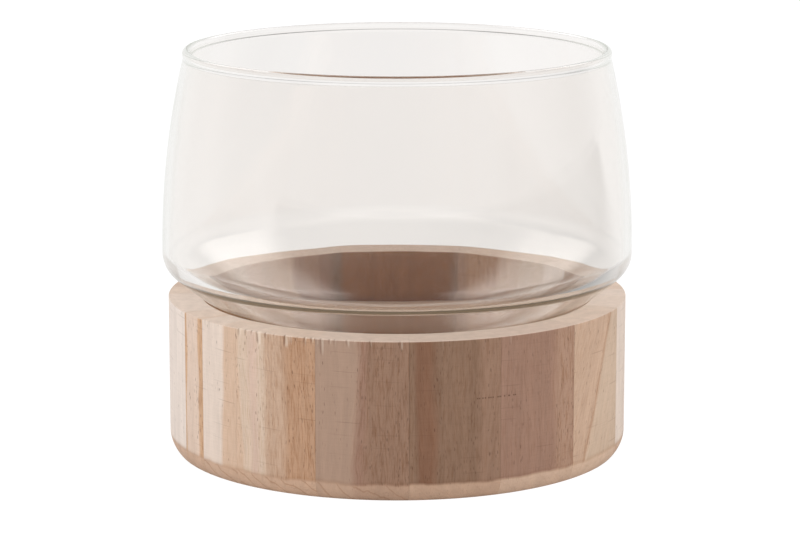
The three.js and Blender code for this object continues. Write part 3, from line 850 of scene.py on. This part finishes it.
class BlowVessel(bpy.types.Operator):
    """Makes the blown glass vessel in place of its plain solid"""

    bl_idname = "vase.blow_vessel"
    bl_label = "Blow the vessel"

    def execute(self, context):
        glass = context.scene.vase_glass
        outer, inner = glass_sections(glass)
        path_radius = glass.radius / 2
        section = list(reversed(outer + inner))
        # Only the inner skin ripples, and not where it meets the axis
        skin = [0.0] + [1.0] * (len(inner) - 1) + [0.0] * len(outer)
        piece = section_object("blown_vessel", section, path_radius, False, skin)
        tree, names = vessel_tree()
        swept_piece(piece, tree, names, {
            "Path radius": path_radius, "Points": glass.steps, "Ripple": glass.ripple, "Seed": GLASS_SEED,
            "Material": clear_glass()}, FIRE_POLISHED_CORNER)
        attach(piece, "vase")
        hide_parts("glass_vessel")
        return {"FINISHED"}


class CooperStaves(bpy.types.Operator):
    """Makes the turned staves in place of their plain solids"""

    bl_idname = "vase.cooper_staves"
    bl_label = "Cooper the staves"

    def execute(self, context):
        ring, colours = context.scene.vase_ring, context.scene.vase_wood
        path_radius = (ring.outer_radius + ring.inner_radius) / 2
        section = list(reversed(stave_section(ring)))
        tree, names = stave_tree()
        spans = {node: stave_span(node) for node in STAVES}
        widest = max(half for _, half in spans.values())
        widening = (ring.modelled_gap - ring.glue_line) / 2 / ring.outer_radius
        for number, node in enumerate(STAVES, start=1):
            middle, half = spans[node]
            half += widening
            half_width = ring.outer_radius * math.sin(half)
            wood = stave_wood(node, colours, ring, middle, half_width, WOOD_SEED * number)
            piece = section_object(f"turned_{node}", section, path_radius, True)
            swept_piece(piece, tree, names, {
                "Path radius": path_radius, "Start": middle - half - math.pi / 2, "Sweep": 2 * half,
                "Middle": middle, "Points": round(ring.steps * half / widest) + 1,
                "Ring radius": ring.outer_radius, "Ring height": ring.height,
                "Torn height": ring.torn_height, "Torn depth": ring.torn_depth,
                "Torn share": TORN.get(node, USUAL_TORN), "Seed": TEAR_SEED * number,
                "Material": wood}, CUT_CORNER)
            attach(piece, "base")
            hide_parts(node)
        return {"FINISHED"}


class FitFloorBoard(bpy.types.Operator):
    """Gives the floor board its wood; its shape stays as it is in the fixed frame"""

    bl_idname = "vase.fit_floor_board"
    bl_label = "Fit the floor board"

    def execute(self, context):
        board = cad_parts["floor_board"]
        board.data.materials.clear()
        board.data.materials.append(board_wood(context.scene.vase_wood))
        return {"FINISHED"}


class SetUpStudio(bpy.types.Operator):
    """Makes the floor, the soft light and the camera"""

    bl_idname = "vase.set_up_studio"
    bl_label = "Set up the studio"

    def execute(self, context):
        scene, studio = context.scene, context.scene.vase_studio
        scene.view_settings.view_transform = "Standard"
        self.lay_floor(scene, studio)
        self.light_sky(scene, studio)
        for side in (-1, 1):
            self.hang_lamp(scene, studio, side)
        self.place_camera(scene, studio)
        return {"FINISHED"}

    def lay_floor(self, scene, studio):
        """Lays the white floor that the base stands on."""
        mesh = bpy.data.meshes.new("studio_floor")
        half = studio.floor_size / 2
        corners = [(-half, -half, 0), (half, -half, 0), (half, half, 0), (-half, half, 0)]
        mesh.from_pydata(corners, [], [(0, 1, 2, 3)])
        mesh.materials.append(floor_paint())
        floor = bpy.data.objects.new("studio_floor", mesh)
        scene.collection.objects.link(floor)

    def light_sky(self, scene, studio):
        """Makes the even light, and the backdrop and soft boxes that glass mirrors."""
        world = bpy.data.worlds.new("studio_sky")
        world.use_nodes = True
        scene.world = world
        tree = world.node_tree
        direction = add(tree, "ShaderNodeTexCoord").outputs["Generated"]
        seen, rays = background_share(tree, direction, -0.3, 0.25)
        shares = add(tree, "ShaderNodeSeparateXYZ", {"Vector": direction}).outputs
        aside = add(tree, "ShaderNodeMath", {0: shares["X"]}, operation="ABSOLUTE")
        backdrop = add(tree, "ShaderNodeMapRange", {
            "Value": shares["Z"], "From Min": studio.backdrop_top, "From Max": studio.backdrop_top + 0.3,
            "To Min": 1.0, "To Max": studio.ceiling}, interpolation_type="SMOOTHSTEP")
        # The soft borders of the side boxes: inner, outer, lower and upper, each from dark to bright
        boxes = faded(tree, studio.side_boxes, [
            (aside, 0.09, 0.29, "SMOOTHSTEP"), (aside, 0.64, 0.48, "SMOOTHSTEP"),
            (shares["Z"], 0.34, 0.56, "SMOOTHSTEP"), (shares["Z"], 0.88, 0.76, "SMOOTHSTEP")])
        mirrored = add(tree, "ShaderNodeMath", {0: backdrop, 1: boxes}, operation="MAXIMUM")
        above = add(tree, "ShaderNodeVectorMath", {
            0: direction, 1: (0, -0.45, 0.89)}, operation="DOT_PRODUCT")
        light = add(tree, "ShaderNodeMapRange", {
            "Value": above.outputs["Value"], "To Min": studio.sky, "To Max": studio.sky + studio.overhead})
        soft = add(tree, "ShaderNodeMix", {0: seen, 2: light, 3: mirrored}, data_type="FLOAT")
        strength = add(tree, "ShaderNodeMix", {0: rays["Is Camera Ray"], 2: soft, 3: 1.0}, data_type="FLOAT")
        connect(tree, tree.nodes["Background"], {"Color": (1, 1, 1, 1), "Strength": strength})

    def hang_lamp(self, scene, studio, side):
        """Hangs a large soft lamp on one side, turned towards the vase."""
        lamp = bpy.data.lights.new("side_lamp", "AREA")
        lamp.shape = "RECTANGLE"
        lamp.size, lamp.size_y = studio.lamp_width, studio.lamp_length
        lamp.energy = studio.lamp_power
        piece = bpy.data.objects.new("side_lamp", lamp)
        piece.visible_glossy = False
        piece.visible_transmission = False
        scene.collection.objects.link(piece)
        piece.location = (side * studio.lamp_distance, -studio.lamp_front, studio.lamp_height)
        aim = Vector((0, 0, cad_high.z / 2)) - piece.location
        piece.rotation_euler = aim.to_track_quat("-Z", "Y").to_euler()

    def place_camera(self, scene, studio):
        """Puts the camera where the photographer's stood."""
        data = bpy.data.cameras.new("camera")
        data.lens, data.sensor_width = studio.focal_length, studio.film_width
        camera = bpy.data.objects.new("camera", data)
        scene.collection.objects.link(camera)
        camera.location = (studio.camera_right, -studio.camera_distance, studio.camera_height)
        camera.rotation_euler = (math.pi / 2 - studio.camera_pitch, 0, 0)
        scene.camera = camera


class VIEW3D_PT_vase(bpy.types.Panel):
    """Lists the steps that make the vase"""

    bl_label = "Vase"
    bl_category = "Vase"
    bl_space_type = "VIEW_3D"
    bl_region_type = "UI"

    def draw(self, context):
        for operator in OPERATORS:
            self.layout.operator(operator.bl_idname)
        for name in SETTINGS:
            settings = getattr(context.scene, name)
            for key in settings.__annotations__:
                self.layout.prop(settings, key)


SETTINGS = {"vase_ring": RingSizes, "vase_glass": GlassSizes, "vase_wood": WoodColours,
            "vase_studio": StudioSettings}
OPERATORS = [SetUpStudio, CooperStaves, FitFloorBoard, BlowVessel]


def register():
    """Registers the classes and hangs the settings on the scene."""
    for cls in [*SETTINGS.values(), *OPERATORS, VIEW3D_PT_vase]:
        bpy.utils.register_class(cls)
    for name, cls in SETTINGS.items():
        setattr(bpy.types.Scene, name, PointerProperty(type=cls))


def unregister():
    """Takes the settings and the classes away again."""
    for name in SETTINGS:
        delattr(bpy.types.Scene, name)
    for cls in reversed([*SETTINGS.values(), *OPERATORS, VIEW3D_PT_vase]):
        bpy.utils.unregister_class(cls)


def main():
    """Makes every piece and the studio."""
    register()
    bpy.ops.vase.set_up_studio()
    bpy.ops.vase.cooper_staves()
    bpy.ops.vase.fit_floor_board()
    bpy.ops.vase.blow_vessel()


if __name__ == "__main__":
    main()
